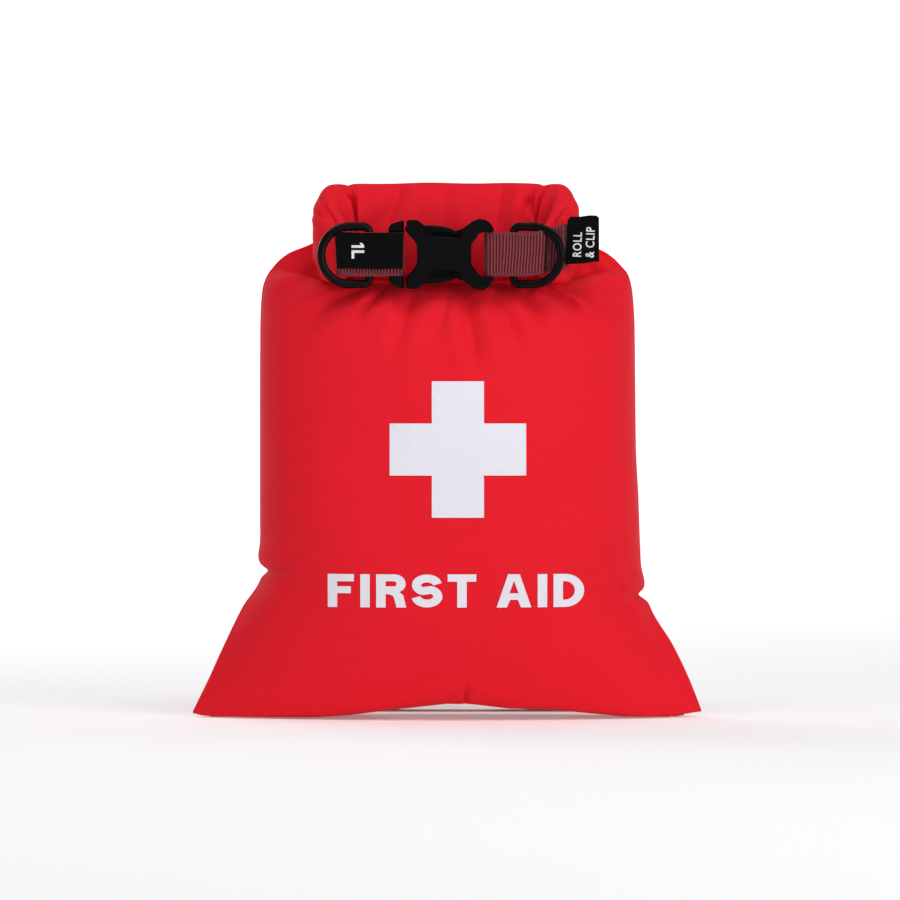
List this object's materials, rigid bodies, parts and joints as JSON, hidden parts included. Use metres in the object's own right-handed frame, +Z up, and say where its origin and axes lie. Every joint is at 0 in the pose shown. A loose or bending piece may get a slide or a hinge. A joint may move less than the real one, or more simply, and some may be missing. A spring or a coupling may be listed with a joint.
{
  "type": "first aid kit",
  "caption": "Small roll-top dry bag kit: two welded fabric panels, a rolled mouth bent into a loop and closed by a side-release buckle on webbing, with D-rings, labels and packed supplies.",
  "frame": {"origin": "on the flattened base the bag stands on, below the middle of the body", "axes": "+Z up, from the base to the rolled mouth; -Y out of the printed front; +X to the right of someone facing the front"},
  "size_m": [0.17, 0.076, 0.1777],
  "materials": {
    "bag_fabric": "coated plain-weave nylon, soft sheen",
    "webbing": "ribbed woven webbing, matt",
    "black_plastic": "moulded acetal, satin",
    "label": "tight woven label, matt",
    "print": "screen print, satin",
    "seam_tape": "translucent film, satin",
    "mouth_strip": "stiff plastic tape, matt",
    "foil": "metallised film",
    "paper_pack": "coated medical paper, matt",
    "cotton": "elastic cotton weave",
    "carton": "printed card, satin",
    "blue_pouch": "film pouch",
    "tape_cloth": "zinc oxide tape, matt",
    "spool": "moulded plastic, satin"
  },
  "bodies": {
    "bag": {"front_panel": "bag_fabric", "back_panel": "bag_fabric", "bottom_seam_tape": "seam_tape", "left_seam_tape": "seam_tape", "right_seam_tape": "seam_tape", "rescue_blanket": "foil", "triangular_bandage": "paper_pack", "elastic_bandage_wide": "cotton", "elastic_bandage_narrow": "cotton", "plaster_box": "carton", "gauze_pack_upper": "paper_pack", "gauze_pack_lower": "paper_pack", "adhesive_tape": "tape_cloth", "tape_spool": "spool", "glove_pack": "blue_pouch", "wipe_sachet_1": "paper_pack", "wipe_sachet_2": "paper_pack", "wipe_sachet_3": "paper_pack"},
    "roll": {"roll_middle": "bag_fabric", "mouth_strip_middle": "mouth_strip"},
    "left_end": {"roll_left_end": "bag_fabric", "mouth_strip_left": "mouth_strip", "left_strap": "webbing", "size_label": "label"},
    "right_end": {"roll_right_end": "bag_fabric", "mouth_strip_right": "mouth_strip", "right_strap": "webbing", "side_tag": "label"},
    "plug": {"buckle_plug_frame": "black_plastic"},
    "upper_prong": {"buckle_upper_prong": "black_plastic"},
    "lower_prong": {"buckle_lower_prong": "black_plastic"},
    "socket": {"buckle_socket": "black_plastic"},
    "left_ring": {"left_d_ring": "black_plastic"},
    "right_ring": {"right_d_ring": "black_plastic"}
  },
  "joints": [
    {"name": "roll_lift", "type": "hinge", "parent": "bag", "child": "roll", "pos_m": [0, 0.001, 0.1745], "axis": [-1, 0, 0], "range_deg": [0, 100]},
    {"name": "right_end_open", "type": "hinge", "parent": "roll", "child": "right_end", "pos_m": [0.031, -0.0032, 0.161], "axis": [0, 0, 1], "range_deg": [0, 38], "deforming": ["buckle_upper_prong", "buckle_lower_prong"]},
    {"name": "left_end_open", "type": "hinge", "parent": "roll", "child": "left_end", "pos_m": [-0.0334, -0.0032, 0.161], "axis": [0, 0, -1], "range_deg": [0, 38]},
    {"name": "socket_swivel", "type": "hinge", "parent": "right_end", "child": "socket", "pos_m": [0.0137, -0.0313, 0.1542], "axis": [0, 0, -1], "range_deg": [0, 38]},
    {"name": "plug_swivel", "type": "hinge", "parent": "left_end", "child": "plug", "pos_m": [-0.0161, -0.0313, 0.1542], "axis": [0, 0, 1], "range_deg": [0, 38]},
    {"name": "upper_prong_press", "type": "hinge", "parent": "plug", "child": "upper_prong", "pos_m": [-0.0129, -0.0313, 0.1626], "axis": [0, 1, 0], "range_deg": [0, 10], "stiffness_Nm_per_rad": 0.1},
    {"name": "lower_prong_press", "type": "hinge", "parent": "plug", "child": "lower_prong", "pos_m": [-0.0129, -0.0313, 0.1458], "axis": [0, -1, 0], "range_deg": [0, 10], "stiffness_Nm_per_rad": 0.1},
    {"name": "left_ring_swing", "type": "hinge", "parent": "left_end", "child": "left_ring", "pos_m": [-0.026, -0.0313, 0.1542], "axis": [0, 0, 1], "range_deg": [0, 95]},
    {"name": "right_ring_swing", "type": "hinge", "parent": "right_end", "child": "right_ring", "pos_m": [0.0217, -0.0313, 0.1542], "axis": [0, 0, -1], "range_deg": [0, 95]}
  ],
  "couplings": [
    {"joint": "left_end_open", "follows": "right_end_open", "ratio": 1},
    {"joint": "socket_swivel", "follows": "right_end_open", "ratio": 1},
    {"joint": "plug_swivel", "follows": "right_end_open", "ratio": 1}
  ]
}
